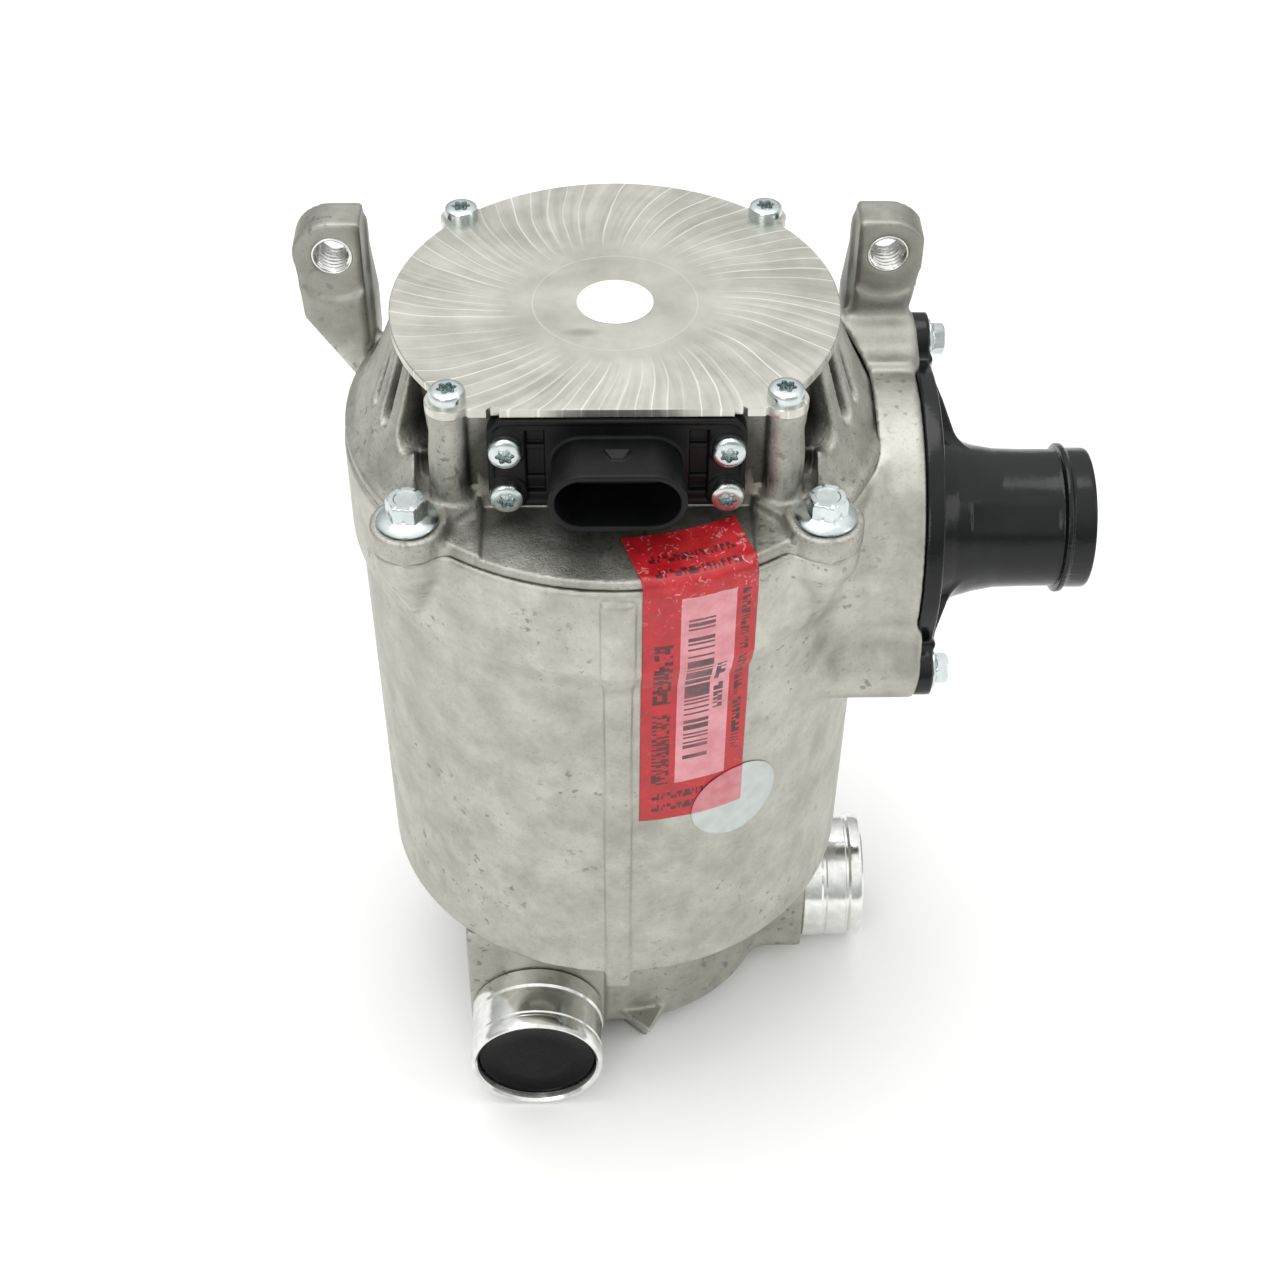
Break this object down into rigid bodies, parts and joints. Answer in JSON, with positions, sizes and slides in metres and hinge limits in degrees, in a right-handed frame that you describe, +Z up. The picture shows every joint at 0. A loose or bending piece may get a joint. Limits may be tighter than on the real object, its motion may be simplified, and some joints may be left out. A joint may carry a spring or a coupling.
{
  "type": "electric supercharger",
  "caption": "Electric centrifugal supercharger: finned electronics head with lid and plug socket, cast motor housing with side intake and ears, volute with hose outlets.",
  "frame": {"origin": "on the rotor's axis, in the plane that the machine stands on", "axes": "+Z up the rotor's axis towards the lid, -Y towards the electrical connector, +X towards the intake spigot"},
  "size_m": [0.2024, 0.1374, 0.2355],
  "materials": {
    "cast_aluminium": "as-cast, satin grey",
    "machined_aluminium": "machined bright",
    "zinc_plated_steel": "zinc plated, clear passivated",
    "black_moulding": "glossy glass-filled nylon",
    "connector_plastic": "satin moulded nylon",
    "seal_rubber": "moulded rubber",
    "tinned_terminal": "tin plated",
    "circuit_board": "solder mask",
    "capacitor_sleeve": "shrink sleeve",
    "lamination_steel": "stacked laminations",
    "copper_winding": "enamelled copper wire",
    "bearing_steel": "ground steel",
    "magnet_sleeve": "banded magnets"
  },
  "bodies": {
    "housing": {"electronics_housing": "cast_aluminium", "motor_housing": "cast_aluminium", "volute_housing": "cast_aluminium", "electronics_lid": "machined_aluminium", "inlet_plate": "machined_aluminium", "front_outlet_spigot": "machined_aluminium", "side_outlet_spigot": "machined_aluminium", "lid_screw_1": "zinc_plated_steel", "lid_screw_2": "zinc_plated_steel", "lid_screw_3": "zinc_plated_steel", "lid_screw_4": "zinc_plated_steel", "housing_bolt_1": "zinc_plated_steel", "housing_bolt_2": "zinc_plated_steel", "housing_bolt_3": "zinc_plated_steel", "housing_bolt_4": "zinc_plated_steel", "connector_screw_1": "zinc_plated_steel", "connector_screw_2": "zinc_plated_steel", "connector_screw_3": "zinc_plated_steel", "connector_screw_4": "zinc_plated_steel", "intake_screw_1": "zinc_plated_steel", "intake_screw_2": "zinc_plated_steel", "intake_screw_3": "zinc_plated_steel", "volute_bolt_1": "zinc_plated_steel", "volute_bolt_2": "zinc_plated_steel", "volute_bolt_3": "zinc_plated_steel", "intake_spigot": "black_moulding", "power_module": "black_moulding", "connector_shell": "connector_plastic", "lid_gasket": "seal_rubber", "housing_o_ring": "seal_rubber", "connector_gasket": "seal_rubber", "intake_o_ring": "seal_rubber", "shaft_seal": "seal_rubber", "terminal_pin_1": "tinned_terminal", "terminal_pin_2": "tinned_terminal", "terminal_pin_3": "tinned_terminal", "terminal_pin_4": "tinned_terminal", "control_board": "circuit_board", "capacitor_1": "capacitor_sleeve", "capacitor_2": "capacitor_sleeve", "stator_core": "lamination_steel", "stator_coil_1": "copper_winding", "stator_coil_2": "copper_winding", "stator_coil_3": "copper_winding", "stator_coil_4": "copper_winding", "stator_coil_5": "copper_winding", "stator_coil_6": "copper_winding", "lower_bearing_outer_race": "bearing_steel", "upper_bearing_outer_race": "bearing_steel", "preload_spring": "bearing_steel"},
    "rotor": {"rotor_shaft": "bearing_steel", "rotor_magnets": "magnet_sleeve", "lower_bearing_inner_race": "bearing_steel", "upper_bearing_inner_race": "bearing_steel", "impeller": "machined_aluminium", "impeller_nut": "zinc_plated_steel"},
    "lower_balls": {"lower_bearing_ball_cage": "bearing_steel"},
    "upper_balls": {"upper_bearing_ball_cage": "bearing_steel"},
    "plug": {"transport_plug": "seal_rubber"}
  },
  "joints": [
    {"name": "rotor_spin", "type": "hinge", "parent": "housing", "child": "rotor", "pos_m": [0, 0, 0.1], "axis": [0, 0, 1], "continuous": true},
    {"name": "lower_cage_spin", "type": "hinge", "parent": "housing", "child": "lower_balls", "pos_m": [0, 0, 0.076], "axis": [0, 0, 1], "continuous": true},
    {"name": "upper_cage_spin", "type": "hinge", "parent": "housing", "child": "upper_balls", "pos_m": [0, 0, 0.184], "axis": [0, 0, 1], "continuous": true},
    {"name": "plug_pull", "type": "slide", "parent": "housing", "child": "plug", "axis": [0, -1, 0], "range_m": [0, 0.03]}
  ],
  "couplings": [
    {"joint": "lower_cage_spin", "follows": "rotor_spin", "ratio": 0.3678},
    {"joint": "upper_cage_spin", "follows": "rotor_spin", "ratio": 0.3678}
  ]
}
